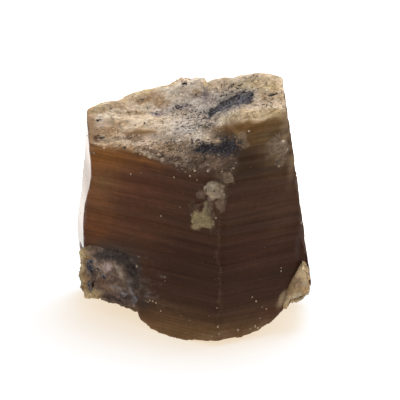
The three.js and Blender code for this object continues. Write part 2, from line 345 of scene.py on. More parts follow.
class Shade:
    """One material under construction. Its methods add nodes and return their outputs."""

    def __init__(self, name, **uniform):
        self.material = bpy.data.materials.new(name)
        self.material.use_nodes = True
        self.nodes = self.material.node_tree.nodes
        self.shader = self.nodes["Principled BSDF"]
        for socket, value in uniform.items():
            self.shader.inputs[socket.replace("_", " ")].default_value = value
        self.place = self.scaled(self.node("TexCoord", {}, "Object"), 1 / MM)

    def connect(self, value, socket):
        if isinstance(value, bpy.types.NodeSocket):
            self.material.node_tree.links.new(value, socket)
        else:
            socket.default_value = value

    def node(self, kind, inputs, output=0, **settings):
        """Adds a node with these inputs, by name or number, and returns one output."""
        node = self.nodes.new("ShaderNode" + kind)
        for name, value in settings.items():
            setattr(node, name, value)
        for name, value in inputs.items():
            self.connect(value, node.inputs[name])
        return node.outputs[output]

    def math(self, operation, *values):
        return self.node("Math", dict(enumerate(values)), operation=operation)

    def product(self, result, *others):
        for value in others:
            result = self.math("MULTIPLY", result, value)
        return result

    def scaled(self, value, scale):
        return self.node("VectorMath", {0: value, "Scale": scale}, operation="SCALE")

    def stretched(self, x, y, z):
        return self.node("VectorMath", {0: self.place, 1: (x, y, z)}, operation="MULTIPLY")

    def noise(self, scale, detail, roughness, place=None):
        inputs = {"Scale": scale, "Detail": detail, "Roughness": roughness}
        return self.node("TexNoise", {"Vector": place or self.place, **inputs}, "Fac")

    def cells(self, scale):
        """A random number from 0 to 1 for each of many small cells."""
        colour = self.node("TexVoronoi", {"Vector": self.place, "Scale": scale}, "Color")
        return self.node("SeparateColor", {0: colour})

    def field(self, name, output="Fac"):
        """What dress stored under the name."""
        return self.node("Attribute", {}, output, attribute_name=name)

    def tone(self):
        return self.field("tone", "Color")

    def between(self, value, low, high, to_low=0.0, to_high=1.0):
        """Value taken smoothly from the range low..high to the range to_low..to_high."""
        inputs = dict(enumerate((value, low, high, to_low, to_high)))
        return self.node("MapRange", inputs, interpolation_type="SMOOTHSTEP")

    def varied(self, noise, least, most):
        """A factor from least to most that follows the noise."""
        return self.between(noise, *NOISE_RANGE, least, most)

    def ragged(self, name, noise, wobble, edge):
        """The field of that name cut off at 0.5, its edge made ragged by noise."""
        value = self.math("MULTIPLY_ADD", noise, wobble, -wobble / 2)
        value = self.math("ADD", self.field(name), value)
        return self.between(value, 0.5 - edge, 0.5 + edge)

    def mix(self, factor, first, second):
        """The colour first where factor is 0, and second where it's 1."""
        return self.node("Mix", {0: factor, 6: first, 7: second}, 2, data_type="RGBA")

    def blend(self, factor, first, second):
        """The same for plain numbers."""
        return self.node("Mix", {0: factor, 2: first, 3: second}, data_type="FLOAT")

    def ramp(self, value, stops):
        """A colour for each value, between the stops' screen colours."""
        result = self.node("ValToRGB", {0: value})
        elements = result.node.color_ramp.elements
        while len(elements) < len(stops):
            elements.new(0.5)
        for element, (place, colour) in zip(elements, stops):
            element.position = place
            element.color = srgb(colour)
        return result

    def bump(self, height, distance, strength):
        inputs = {"Height": height, "Distance": distance, "Strength": strength}
        self.connect(self.node("Bump", inputs), self.shader.inputs["Normal"])

    def finished(self, colour, roughness):
        self.connect(colour, self.shader.inputs["Base Color"])
        self.connect(roughness, self.shader.inputs["Roughness"])
        return self.material


# The gloss of each material, and how deep its bump is.
PARISITE_IOR = 1.7
PARISITE_SPECULAR = 0.05
STONE_SPECULAR = 0.15
FACE_ROUGHNESS = (0.34, 0.5)
MIRROR_ROUGHNESS = (0.12, 0.22)
BROKEN_ROUGHNESS = 0.72
MATT_ROUGHNESS = 0.95
MATRIX_ROUGHNESS = 0.7
BROKEN_BUMP = 0.12 * MM
MIRROR_BUMP = 0.02 * MM
MATRIX_BUMP = 0.2 * MM
# Screen colours of the black grains that are painted on, and of the painted glints.
PIT_TONE = (66, 58, 56)
GLINT_TONE = (232, 224, 212)
# The dark minerals' tones, from the darkest to their frost: a level of noise, then the colour.
LENS_TONES = (
    (0.4, (40, 36, 39)), (0.56, (66, 61, 64)), (0.72, (118, 115, 121)), (0.88, (172, 168, 170)),
)
# The matrix's dark parts, from black to pale bluish painted glints: a level of noise, then a
# colour.
MATRIX_DARK_TONES = ((0.38, (44, 41, 44)), (0.5, (86, 84, 88)), (0.62, (152, 150, 155)))


def level_streaks(shade):
    """Light and dark streaks that run level round the column, and the finest of them as relief."""
    broad = shade.noise(1.0, 2, 0.5, shade.stretched(0.06, 0.06, 1.1))
    fine = shade.noise(1.0, 3, 0.7, shade.stretched(0.1, 0.1, 4.5))
    hair = shade.noise(1.0, 2, 0.6, shade.stretched(0.2, 0.2, 13))
    light = shade.product(
        shade.varied(broad, 0.87, 1.13),
        shade.between(fine, 0.25, 0.75, 0.82, 1.2),
        shade.varied(hair, 0.9, 1.11),
        shade.varied(shade.noise(2.2, 4, 0.7), 0.9, 1.1),
    )
    return shade.scaled(shade.tone(), light), fine


def parisite_material():
    """Fine level streaks on the column's faces, and grains where it is broken or crusted."""
    shade = Shade("parisite", IOR=PARISITE_IOR, Specular_IOR_Level=PARISITE_SPECULAR)
    faces, fine = level_streaks(shade)
    grain = shade.noise(1.0, 4, 0.72, shade.stretched(1.6, 3.0, 3.6))
    mottle = shade.product(
        shade.varied(grain, 0.68, 1.36),
        shade.between(shade.cells(4.5), 0, 1, 0.88, 1.12),
    )
    broken = shade.scaled(shade.tone(), mottle)
    specks = shade.noise(1.0, 3, 0.6, shade.stretched(2.2, 4.4, 5.2))
    speckled = shade.math("MULTIPLY_ADD", shade.field("speckle"), 0.12, specks)
    broken = shade.mix(shade.between(speckled, 0.7, 0.78), broken, srgb(PIT_TONE))
    # Painted glints: a few tiny pale cells that stand in for sparkling highlights.
    glints = shade.product(
        shade.between(shade.cells(5.5), 0.9, 0.95),
        shade.between(shade.field("speckle"), 0.1, 0.8, 0.0, 0.5),
    )
    broken = shade.mix(glints, broken, srgb(GLINT_TONE))
    granular = shade.ragged("granular", grain, 0.9, 0.15)
    colour = shade.mix(granular, faces, broken)
    frost = shade.math("MULTIPLY_ADD", shade.field("frost"), 0.2, shade.noise(4.5, 3, 0.7))
    dark_mask = shade.ragged("dark", specks, 1.7, 0.26)
    colour = shade.mix(dark_mask, colour, shade.ramp(frost, LENS_TONES))
    height = shade.blend(granular, shade.math("MULTIPLY", fine, 0.35), grain)
    shade.bump(height, BROKEN_BUMP, 0.8)
    polished = shade.between(fine, 0.3, 0.8, *FACE_ROUGHNESS)
    roughness = shade.blend(granular, polished, BROKEN_ROUGHNESS)
    roughness = shade.blend(shade.field("matt"), roughness, MATT_ROUGHNESS)
    return shade.finished(colour, roughness)


def mirror_material():
    """The column's one smooth face, which shines like glass at a grazing look."""
    shade = Shade("parisite_mirror", IOR=PARISITE_IOR)
    faces, fine = level_streaks(shade)
    shade.bump(fine, MIRROR_BUMP, 0.5)
    return shade.finished(faces, shade.between(fine, 0.3, 0.8, *MIRROR_ROUGHNESS))


def matrix_material(name, mottled):
    """A rough aggregate of crystal grains, their tones as far apart as mottled says."""
    shade = Shade(name, Specular_IOR_Level=STONE_SPECULAR)
    grain = shade.noise(2.6, 5, 0.72)
    mottle = shade.product(
        shade.varied(grain, 1 - mottled, 1 + 1.1 * mottled),
        shade.between(shade.cells(2.2), 0, 1, 1 - 0.55 * mottled, 1 + 0.6 * mottled),
    )
    colour = shade.scaled(shade.tone(), mottle)
    dark = shade.ramp(shade.noise(4.0, 3, 0.7), MATRIX_DARK_TONES)
    colour = shade.mix(shade.ragged("dark", grain, 0.8, 0.12), colour, dark)
    shade.bump(grain, MATRIX_BUMP, 0.9)
    return shade.finished(colour, MATRIX_ROUGHNESS)


def grain_material(name, roughness=0.5, specular=0.3):
    """Small crystals, each of its own tone."""
    shade = Shade(name, Specular_IOR_Level=specular)
    cloud = shade.noise(5.0, 3, 0.6)
    colour = shade.scaled(shade.tone(), shade.varied(cloud, 0.85, 1.15))
    return shade.finished(colour, roughness)


# ---- relief and tone shared

# A grain is a little block: how much bigger than the least it can be, how its tone and its sides
# vary, how skewed it is, and how deep its middle lies as a share of its size.
GRAIN_SPREAD = 0.16
GRAIN_SHADES = 0.1
GRAIN_STRETCH = (0.6, 1.3)
GRAIN_SKEW = 0.4
GRAIN_SINK = 0.15
CUBE = np.array(list(np.ndindex(2, 2, 2))) - 0.5
CUBE_FACES = np.array(
    [(0, 1, 3, 2), (4, 6, 7, 5), (0, 4, 5, 1), (2, 3, 7, 6), (0, 2, 6, 4), (1, 5, 7, 3)]
)
CONVEX_BLUR = 10
# A relief is a rise in millimetres, or a dip where it's negative, and then its mark's numbers.
RELIEF_SOFT = 1.2


def convexity(points, normals, edges):
    """How far each vertex stands out from its surroundings, in millimetres."""
    return np.sum((points - blurred(points, edges, CONVEX_BLUR)) * normals, axis=1)


def granules(points):
    """The bumps and pits of a broken surface, in millimetres."""
    bumps = 0.10 * fractal(points, (1.8, 1.1, 0.9), seed=11)
    bumps += 0.04 * noise(points, (0.5, 0.35, 0.35), seed=15)
    pits = smooth(0.45, 0.8, noise(points, (1.1, 0.7, 0.7), seed=17))
    return bumps - 0.12 * pits


def turned_at_random(rng, shapes):
    """The corners of each shape, turned by a quaternion of its own."""
    turns = unit(rng.normal(size=(len(shapes), 4)))[:, None]
    w, axis = turns[..., :1], turns[..., 1:]
    across = np.cross(axis, shapes)
    return shapes + 2 * w * across + 2 * np.cross(axis, across)


def grain_mesh(name, places, outward, sizes, tones, rng):
    """Little skewed blocks, each sunk a little more than half into the surface."""
    count = len(places)
    shape = CUBE * rng.uniform(*GRAIN_STRETCH, (count, 1, 3)) * sizes[:, None, None]
    shape[:, :, 0] += rng.uniform(-GRAIN_SKEW, GRAIN_SKEW, (count, 1)) * shape[:, :, 2]
    corners = turned_at_random(rng, shape)
    corners += (places - GRAIN_SINK * sizes[:, None] * outward)[:, None]
    faces = CUBE_FACES + len(CUBE) * np.arange(count)[:, None, None]
    mesh = bpy.data.meshes.new(name)
    mesh.from_pydata(corners.reshape(-1, 3), [], faces.reshape(-1, 4).tolist())
    keep_tone(mesh, np.repeat(tones, len(CUBE), axis=0))
    return mesh


def scattered(rng, weights, count):
    """That many vertices, drawn by their weights."""
    return rng.choice(len(weights), count, p=weights / weights.sum())


def drawn_grains(rng, weights, count, least, tones, lighter=0.0):
    """Vertices for grains, and the grains' sizes from the least up, and their tones."""
    index = scattered(rng, weights, count)
    sizes = least + GRAIN_SPREAD * rng.random(count) ** 3
    shades = tones[index] * np.exp(rng.normal(lighter, GRAIN_SHADES, count))[:, None]
    return index, sizes, shades


def patchy(points, tones, patches, strength, edge):
    """The first tone with patches of the others, each patch given by its size and seed."""
    colours = np.tile(np.array(tones[0], dtype=float), (len(points), 1))
    for tone, (size, seed) in zip(tones[1:], patches):
        patch = strength * smooth(0, edge, fractal(points, size, seed))
        colours = mixed(colours, tone, patch)
    return colours


def relief_of(points, reliefs):
    """How far each point is raised or lowered by the reliefs."""
    total = np.zeros(len(points))
    for height, *mark in reliefs.values():
        total += height * eased(points, {"here": mark}, RELIEF_SOFT)
    return total


# ---- the crystal

CRYSTAL_VOXEL = 0.165

# Screen colours of the column by height in millimetres.
# The paler lowest stops are painted light: floor bounce and glow through the thin lower edge.
COLUMN_TONES = (
    (0.0, (136, 102, 70)), (1.2, (106, 77, 52)), (2.2, (87, 61, 40)),
    (3.3, (72, 49, 33)), (4.5, (62, 39, 26)), (7.5, (60, 37, 25)),
    (9.5, (61, 37, 24)), (12.5, (66, 43, 28)), (15.0, (69, 45, 31)),
    (18.0, (61, 41, 26)), (24.0, (76, 55, 36)),
)

FACE_WASHES = dict(
    # The left half and left edge washes are painted glow of light through the thin left edge.
    painted_glow_left_half=Wash((106, 67, 42), 0.8, 1.6, at=(118, 190, 32, 50)),
    left_edge=Wash((137, 90, 53), 0.85, 1.6, at=(97, 178, 14, 50, -3)),
    painted_glow_left_edge_low=Wash((98, 55, 27), 0.75, 1.4, at=(95, 229, 15, 14, -6)),
    front_edge=Wash((88, 68, 54), 0.5, 0.8, at=(219, 276, 1.3, 56)),
    # The amber wash is painted glow, light from the top shining through under the rim.
    painted_amber_glow=Wash((130, 82, 37), 1.0, left=(110, 155, 34, 12, -6), right=(142, 160, 20, 5, -14)),
    lump_edge=Wash((158, 135, 106), 0.95, 0.45, at=(282.5, 299, 3.6, 11, -18)),
    rim_grains=Wash(
        (150, 124, 100), 0.55, middle=(214, 336, 16, 3, 4), right=(256, 327, 12, 3.5, 28),
    ),
    # Red wash: the right patch is painted reddish glow through the crystal, the left one a tone.
    red=Wash((84, 46, 34), 0.5, 1.6, right=(251, 253, 13, 12), left=(150, 190, 34, 22, -12)),
    right_strip=Wash((88, 60, 44), 0.6, 1.5, at=(285, 205, 14, 30, -3, 1.6)),
    edge_rim=Wash((104, 82, 62), 0.6, 0.8, at=(290, 176, 3, 12, -4, 0.7)),
    # Olive wash: the belly and corner patches are partly the rim's tone, partly painted bounce
    # light.
    olive=Wash(
        (112, 86, 52), 0.55, 1.4, left=(104, 183, 9, 7), belly=(205, 332, 46, 6, 4),
        corner=(246, 331, 16, 6, 24),
    ),
    # The halo wash is painted shade on the crystal above, beside and under the left lump.
    halo=Wash(
        (62, 52, 47), 0.85, 1.2, above=(116, 250, 20, 7, -6), beside=(134, 272, 6, 22, 6),
        below=(141, 292, 7, 12, 12), under=(129, 307, 14, 4, -15),
    ),
)

# Bluish grey bloom on the left face, broken up into flecks.
BLOOM = Wash(
    (104, 94, 90), 0.9, 1.0, left=(143, 263, 7, 6), left_low=(142, 284, 6, 6),
    middle=(162, 279, 7, 5), low=(151, 294, 11, 6, 8), foot=(158, 305, 6, 4, 20),
)

# Washes that run over the rim, from the broken top on to the faces.
RIM_WASHES = dict(
    spill=Wash(
        (96, 76, 62), 0.95, 0.7, left=(165, 158, 24, 4.5, -16), middle=(200, 167, 28, 7, -4),
        right=(226, 163, 10, 11),
    ),
    left_rim=Wash((160, 122, 84), 0.8, 0.8, at=(112, 147.5, 26, 3.2, -3)),
    shoulder_tan=Wash((182, 160, 126), 0.85, 0.8, at=(250, 115, 34, 4.5, 6)),
    corner_tan=Wash((180, 154, 112), 0.9, 0.8, at=(275, 115, 13, 6.5, -6, 3.0)),
    shoulder=Wash((99, 69, 35), 0.95, 0.8, at=(253, 127, 38, 6.5, 3)),
    below=Wash((101, 74, 42), 0.9, at=(257, 139, 24, 7, 4)),
    corner=Wash((121, 99, 70), 0.85, 1.2, at=(276, 146, 12, 17, -8, 3.0)),
    right_edge=Wash(
        (134, 112, 86), 0.8, upper=(286, 125, 4, 36, -4, 0.9), lower=(292, 163, 4, 9, -4, 0.8),
    ),
)
# Where the broken top is smoother.
CALM_MARKS = dict(shoulder=(253, 128, 38, 8, 3), streak=(143, 131, 17, 3.5), edge=(90, 137, 4, 10))

# The broken top's tan, cream, pink and honey patches.
TOP_GROUND = ((219, 196, 168), (236, 221, 200), (210, 183, 162), (196, 166, 130))
TOP_PATCHES = [((2.6, 1.2, 0.8), seed) for seed in (41, 45, 49)]

TOP_WASHES = dict(
    grey=Wash(
        (188, 181, 178), 0.75, 1.3, middle=(198, 112, 26, 19, 8), left=(170, 107, 16, 8, 4),
        right=(228, 98, 24, 12, 14), front=(188, 130, 26, 8, 4),
    ),
    cream=Wash(
        (222, 204, 178), 0.55, 1.0, left=(139, 105, 9, 3.5), far_left=(110, 118, 10, 4),
        middle=(150, 121, 15, 3.5, -4), middle_back=(170, 98, 10, 4, -4),
        right=(262, 108, 16, 3.5, -4), near_streak=(162, 135, 8, 3),
    ),
    straw=Wash(
        (204, 180, 134), 0.75, 1.0, notch=(207, 87, 6, 3), right_back=(250, 85, 16, 4, 4),
        corner=(270, 86, 12, 8), left_back=(98, 110, 9, 3, 12), middle_back=(143, 95, 13, 3, 8),
    ),
    tan=Wash(
        (172, 147, 118), 0.85, 1.0, left=(113, 108, 13, 2.6, 8), middle=(134, 113.5, 15, 2.4),
        corner=(268, 96, 12, 5),
    ),
    honey=Wash(
        (166, 128, 90), 0.75, 1.0, streak=(143, 132.5, 17, 3.5), left_edge=(91, 138, 4, 8),
        left=(104, 132, 14, 5), back_left=(146, 100, 9, 3, 8), middle_left=(158, 103, 7, 5),
        front=(172, 146, 14, 3),
    ),
    brown=Wash((130, 102, 72), 0.85, streak=(141, 134, 15, 2.4), shoulder=(226, 132, 14, 5, 4)),
    warm_edge=Wash((184, 146, 112), 0.85, at=(89.5, 122, 4, 12)),
    rim_shade=Wash((122, 97, 74), 0.8, left=(98, 138, 8, 4.5), right=(122, 139.5, 20, 2.8, 2)),
    pale_front=Wash((180, 160, 140), 0.8, at=(171, 137, 14, 4.5, -4)),
    front=Wash((138, 113, 90), 0.85, 1.0, left=(160, 152, 30, 6, -12), right=(210, 161, 32, 10)),
    front_grey=Wash((126, 108, 90), 0.7, 1.0, at=(184, 145, 18, 4.5, -4)),
    under_the_lens=Wash(
        (146, 136, 128), 0.85, 0.8, right=(239, 106.5, 11, 2.6, 8), left=(226, 110, 7, 2.4, 24),
    ),
    lens_halo=Wash((136, 127, 120), 0.3, 1.1, right=(228, 98, 22, 9, 14), left=(206, 119, 14, 8)),
    ledge=Wash((196, 182, 164), 0.8, at=(226, 115, 16, 3.2, 6)),
    ledge_foot=Wash((104, 89, 72), 0.9, 0.8, at=(208, 127.5, 9, 3, 6)),
    bluish=Wash(
        (138, 126, 130), 0.7, right=(205, 95, 4, 4.5), middle=(183, 106, 6, 3),
        left=(156, 113.5, 7, 1.8),
    ),
    front_dark=Wash((80, 66, 56), 0.9, 1.0, lower=(214, 150, 26, 8), upper=(222, 137, 14, 5)),
    amber_rim=Wash((146, 106, 70), 0.8, 0.8, at=(112, 148.5, 28, 3.5, -4)),
    rim_fleck=Wash((80, 56, 42), 0.9, 0.7, right=(138, 148, 4, 1.2), left=(96, 139, 4, 3)),
)

# The two dark lenses in the broken top, and clusters of black grains.
LENS_MARKS = dict(
    lens=(241, 99, 13.5, 7.8, 6), lens_end=(248, 98, 6.5, 8), lens_neck=(226, 104, 10, 5.6, 28),
    corner_fleck=(272, 94, 5, 1.8, 8), back_fleck=(184, 82.5, 2.6, 1.4, -35),
    lens_tail=(215, 111, 9.5, 4, 30), hollow=(228, 146, 10, 10, 4),
    hollow_left=(203, 148.5, 9, 5.5), hollow_middle=(215, 149, 10, 5.5),
)
FLECK_MARKS = dict(
    corner_low=(271, 102, 4, 2, -30), corner_streaks=(266, 106, 6, 2, -10),
    back_corner=(252, 78, 4, 1.6, -5), back_corner_dot=(258, 78, 1.6, 1.6),
    back_right_streaks=(228, 88, 9, 2, 10), back_streak=(192, 84, 5, 1, 0),
    left_fleck=(106, 110, 6.5, 1.3, -20), left_core=(110, 111.5, 3, 1.4, -24),
    left_dots=(98, 121, 4, 1.6), left_rim_fleck=(99, 138, 5, 4),
    left_rim_streak=(127, 136.5, 10, 1.5, 3), left_rim_right=(113, 141, 3, 2.5),
    back_left=(141, 100, 4, 1.6, -10), back_left_dots=(131, 98, 3, 1.4),
    middle_streak=(183, 107, 6, 3, 5), middle_left=(154, 114, 7, 1.8, -3),
    middle_fleck=(189, 116, 5, 2.4), middle_thin=(172, 116, 8, 1.4),
    cleft_fleck=(219, 88, 5, 3, 20), cleft_low=(222, 97, 4, 3, 20),
    before_the_lens=(205, 116, 8, 3, 10), middle_band=(198, 127, 14, 6, 8),
    front_fleck=(197, 141, 8, 2.5, -8), front_left=(172, 142, 10, 3),
    front_left_band=(150, 145, 12, 4, -10),
)

# Paler grains in the lenses.
FROST_MARKS = dict(lens=(238, 99.5, 9, 6, 14), tail=(222, 108, 12, 4, 30))

# Pale crusts on the front, and the dark halo round them.
CRUSTS = dict(
    halo=Wash(
        (96, 76, 60), 0.8, upper_crust=(223, 180, 9, 7), edge_crust=(221, 194, 6, 11),
        between=(211, 216, 4, 14, 4), left=(197, 205, 8, 4, 10),
    ),
    faint=Wash(
        (124, 105, 87), 0.7, 0.8, upper_crust=(227, 178, 6.2, 5), edge_crust_left=(201, 194, 4, 5),
        edge_crust_tail=(219, 204, 3.5, 9, 10), between=(211, 204, 6, 5),
        shoulder_crust=(242, 141, 5.5, 9, -15), corner_crust=(275, 146, 8, 11, -15, 2.0),
        corner_crust_low=(280, 159, 7, 8, -15, 2.0), corner_crust_spot=(286, 147, 3.5, 7, 0, 2.0),
    ),
    grey=Wash(
        (150, 133, 110), 0.95, 0.7, edge_crust=(213.5, 187, 8, 4.5),
        edge_crust_tip=(206, 187.5, 3.5, 2, 30), edge_crust_body=(215, 194, 8.5, 6.5),
    ),
    olive=Wash(
        (137, 121, 89), 0.95, 0.6, lower_crust_left=(199, 219, 6.5, 8.5, -10),
        lower_crust_right=(207, 219, 5, 10.5, 8), lower_crust_foot=(202, 225.5, 10.5, 4),
        lower_crust_spire=(205, 207, 2.4, 6),
    ),
)
BRIGHT_CRUST = Wash(
    (176, 160, 140), 0.8, corner=(205.5, 187, 3, 1.6, 30), edge=(213.5, 184.5, 5, 2.4),
    spire=(205, 207, 2, 5.5), lower_corner=(198, 212, 3, 2),
    lower_right_corner=(208.5, 213, 1.6, 4, 14), face_corner=(284, 142, 3.5, 4),
    face_corner_low=(287, 151, 2.5, 3),
)

# Crusts on the sides turned away: middle and half size in millimetres.
FAR_CRUSTS = dict(
    back=(-2.5, 8.6, 15.0, 1.9), back_low=(3.5, 8.8, 8.0, 1.4), left_back=(-9.0, 4.0, 9.0, 1.5),
    right=(11.2, 1.5, 13.5, 1.7),
)

# The smooth left face: height, then x and y of its front edge and of its back edge. It is flat
# between the two at every height.
LEFT_FACE_EDGES = (
    (5.2, -11.29, -0.12, -12.09, 4.38), (7.0, -11.33, -0.80, -12.25, 4.04),
    (8.5, -11.33, -0.75, -12.10, 4.04), (10.0, -11.32, -0.40, -11.92, 3.88),
    (11.5, -11.15, -0.20, -11.67, 3.71), (13.0, -10.80, -0.40, -11.55, 3.65),
    (14.0, -10.45, -0.45, -11.43, 3.60), (15.0, -10.43, -0.22, -11.28, 3.65),
    (16.0, -10.43, -0.06, -11.18, 3.65), (17.0, -10.62, 0.35, -11.15, 3.55),
    (18.0, -10.70, 0.65, -11.10, 3.50), (19.0, -10.72, 1.60, -10.90, 3.50),
)
# Its edges are averaged over these steps of height, and it ends raggedly above and below.
LEFT_FACE_STEPS = (-0.9, -0.45, 0, 0.45, 0.9)
LEFT_FACE_FADE = 0.7
LEFT_FACE_RAGGED = 0.35
LEFT_FACE_SKIN = (-0.12, -0.04)

CRYSTAL_RELIEF = dict(
    notch=(0.5, 203, 87, 9, 5), notch_left=(0.5, 198, 83, 6, 3), peak=(-0.12, 184, 80, 6, 2.5),
    rim_middle=(0.28, 164, 89, 9, 3, 8), rim_left=(0.62, 146, 95, 14, 3, 8),
    rim_far_left=(0.55, 106, 107, 13, 3, 12), rim_back=(0.52, 226, 82, 9, 2.5),
    rim_right=(0.42, 257, 77, 9, 2.5), right_corner=(0.32, 274, 79, 5, 2.5),
    left_corner=(0.22, 89, 118, 3, 7, 0, 2.0), right_edge=(-0.3, 302, 247, 4, 14, -4),
    belly_left=(0.42, 144, 317, 7, 5, -50), belly_foot=(0.12, 160, 331, 12, 3, -20),
    belly_middle=(0.22, 191, 338, 13, 3, -2), belly_right=(0.25, 271, 319, 7, 4, 40),
)


def left_face(points):
    """How far each vertex belongs to the smooth left face, and the way from it to that face."""
    heights, *columns = zip(*LEFT_FACE_EDGES)
    nearby = points[:, 2] + np.array(LEFT_FACE_STEPS)[:, None]
    edges = [np.interp(nearby, heights, column).mean(0) for column in columns]
    front_x, front_y, back_x, back_y = edges
    outward = unit(np.stack([front_y - back_y, back_x - front_x, 0 * front_x], axis=1))
    distance = (points[:, 0] - front_x) * outward[:, 0] + (points[:, 1] - front_y) * outward[:, 1]
    share = smooth(*LEFT_FACE_SKIN, distance)
    level = points[:, 2] + LEFT_FACE_RAGGED * fractal(points, 1.4, seed=73)
    share = share * smooth(heights[0] - LEFT_FACE_FADE, heights[0], level)
    share = share * smooth(heights[-1] + LEFT_FACE_FADE, heights[-1], level)
    return share, -distance[:, None] * outward


# How often the normals and the top's mask are blurred, the heights between which the broken top
# starts, and where the masks of crusts and broken parts are cut.
SIDES_BLUR = 14
BROKEN_BLUR = 25
TOP_START = (14, 16)
CUT = (0.35, 0.65)


def crystal_sides(points, normals, edges):
    """How much each vertex looks up, down and level."""
    up = unit(blurred(normals, edges, SIDES_BLUR))[:, 2]
    top = smooth(0.15, 0.75, up) * smooth(*TOP_START, points[:, 2])
    base = smooth(0.3, 0.6, -up)
    level = smooth(0.5, 0.35, np.abs(up))
    return top, base, level


def far_crust(points):
    """The ragged crusts on the sides turned away."""
    field = np.zeros(len(points))
    ragged = 0.7 * fractal(points, 1.2, seed=61)
    for x, y, z, half in FAR_CRUSTS.values():
        distance = np.linalg.norm((points - (x, y, z)) / half, axis=1)
        field = np.maximum(field, np.clip(1.0 - 0.6 * distance + ragged, 0, 1))
    return field


def crust_field(points, wash):
    """The wash's marks with ragged, patchy edges."""
    field = wash.over(points)
    return np.clip(field + 0.55 * smooth(0, 0.5, field) * fractal(points, 0.5, seed=63), 0, 1)


# Ruddy patches on the faces, pale worn edges, and painted shade in crevices.
RUDDY = (84, 50, 36)
RUDDY_STRENGTH = 0.35
WORN = (140, 116, 92)
WORN_STRENGTH = 0.45
CREVICE_SHADE = 0.25
CREVICE_DEPTHS = (-0.02, -0.12)


def face_tones(points, ragged):
    """The screen colour of the column's faces."""
    level = points[:, 2] + 0.8 * fractal(points, (6, 6, 2.5), seed=35)
    ruddy = smooth(0.1, 0.5, fractal(points, (9, 9, 2.5), seed=37))
    faces = mixed(by_level(level, COLUMN_TONES), RUDDY, RUDDY_STRENGTH * ruddy)
    faces = washed(faces, ragged, FACE_WASHES)
    flecks = smooth(0.0, 0.5, fractal(points, (0.6, 0.6, 0.3), seed=75))
    bloom = smooth(0, 1, BLOOM.over(ragged))
    return mixed(faces, BLOOM.colour, BLOOM.strength * bloom * flecks)


def crystal_tones(points, top, left, convex, crusts):
    """The screen colour of each vertex, without its finest grain."""
    ragged = wobbled(points, seed=31, reach=0.3, size=0.8)
    ground = patchy(points, TOP_GROUND, TOP_PATCHES, strength=0.85, edge=0.45)
    broken = washed(ground, ragged, TOP_WASHES)
    share = smooth(*CUT, top)
    colours = washed(mixed(face_tones(points, ragged), broken, share), ragged, RIM_WASHES)
    for name, wash in CRUSTS.items():
        field = wash.strength * smooth(*CUT, crusts[name])
        colours = mixed(colours, wash.colour, field)
    crust = np.max(list(crusts.values()), axis=0)
    bright = smooth(0.2, 0.8, crust * BRIGHT_CRUST.over(ragged))
    colours = mixed(colours, BRIGHT_CRUST.colour, BRIGHT_CRUST.strength * bright)
    worn = smooth(0.05, 0.16, convex) * (1 - share) * (1 - left) * (1 - crust)
    colours = mixed(colours, WORN, WORN_STRENGTH * worn)
    # Painted shade in crevices.
    return colours * (1 - CREVICE_SHADE * smooth(*CREVICE_DEPTHS, convex))[:, None]


def striae(points):
    """Fine level ridges round the column, each fading out along its length, in millimetres."""
    ridges = 0.022 * noise(points, (18, 18, 0.8), seed=5)
    ridges += 0.014 * noise(points, (12, 12, 0.4), seed=6)
    return ridges + 0.008 * noise(points, (6, 6, 0.22), seed=7)


# The dark parts lie lower by this many millimetres, and the crusts stand out and are less rough.
DARK_DIP = 0.15
DARK_EDGE = (0.4, 0.8)
CRUST_RISE = 0.03
CRUST_GRANULES = 0.5
# How rough the foot and the spill are beside the broken top, and how much the calm marks aren't.
BASE_GRANULES = 0.35
BASE_ROUGH = 0.8
SPILL_ROUGH = 0.7
CALMING = 0.7


def crystal_pieces():
    mesh = remeshed(welded_copy("crystal"), CRYSTAL_VOXEL)
    points, normals, edges = measured(mesh)
    top, base, level = crystal_sides(points, normals, edges)
    left, to_face = left_face(points)
    points = points + left[:, None] * to_face
    ragged = wobbled(points, seed=27)
    crusts = {name: crust_field(ragged, wash) for name, wash in CRUSTS.items()}
    crusts["faint"] = np.maximum(crusts["faint"], far_crust(ragged))
    crust = smooth(*CUT, np.max(list(crusts.values()), axis=0))
    ahead = smooth(0.75, 0.45, normals[:, 1])
    dark = ahead * marked(ragged, LENS_MARKS, soft=0.8)
    flecks = ahead * marked(ragged, FLECK_MARKS, soft=1.3)
    calm = eased(points, CALM_MARKS, soft=1.2)
    spill = smooth(0.3, 0.6, RIM_WASHES["spill"].over(ragged))
    ragged_top = 0.35 * fractal(points, 0.9, seed=39) * (1 - left)
    broken = np.clip(blurred(top, edges, BROKEN_BLUR) + ragged_top, 0, 1)
    tones = crystal_tones(points, broken, left, convexity(points, normals, edges), crusts)
    rough = [broken * (1 - calm), SPILL_ROUGH * spill, crust, BASE_ROUGH * base]
    rough = np.max(rough, axis=0)
    grains = crystal_grains(points, normals, tones, rough * (1 - base), dark, crust)
    out = level * (1 - crust) * (1 - left) * striae(points)
    out += np.maximum(top * (1 - CALMING * calm), BASE_GRANULES * base) * granules(points)
    out += crust * (CRUST_RISE + CRUST_GRANULES * granules(points))
    out += relief_of(points, CRYSTAL_RELIEF) - DARK_DIP * smooth(*DARK_EDGE, dark)
    moved = points + out[:, None] * normals
    moved[:, 2] = np.maximum(moved[:, 2], 0)
    grey = smooth(0, 1, TOP_WASHES["grey"].over(points))
    dress(
        mesh, moved, tones, granular=rough, dark=dark,
        speckle=(0.4 + 0.55 * grey + 1.5 * flecks) * (1 - crust),
        frost=marked(points, FROST_MARKS),
        matt=level * smooth(0.75, 0.9, normals[:, 0]),
    )
    finish_piece("crystal_surface", mesh, parisite_material(), mirror_material(), node="crystal")
    glossy = [int(left[list(face.vertices)].mean() > 0.5) for face in mesh.polygons]
    mesh.polygons.foreach_set("material_index", glossy)
    finish_piece("crystal_grains", grains, grain_material("parisite_grains"), slot="parisite")
    dust_piece(points, normals, level)


CRYSTAL_GRAINS = 2600
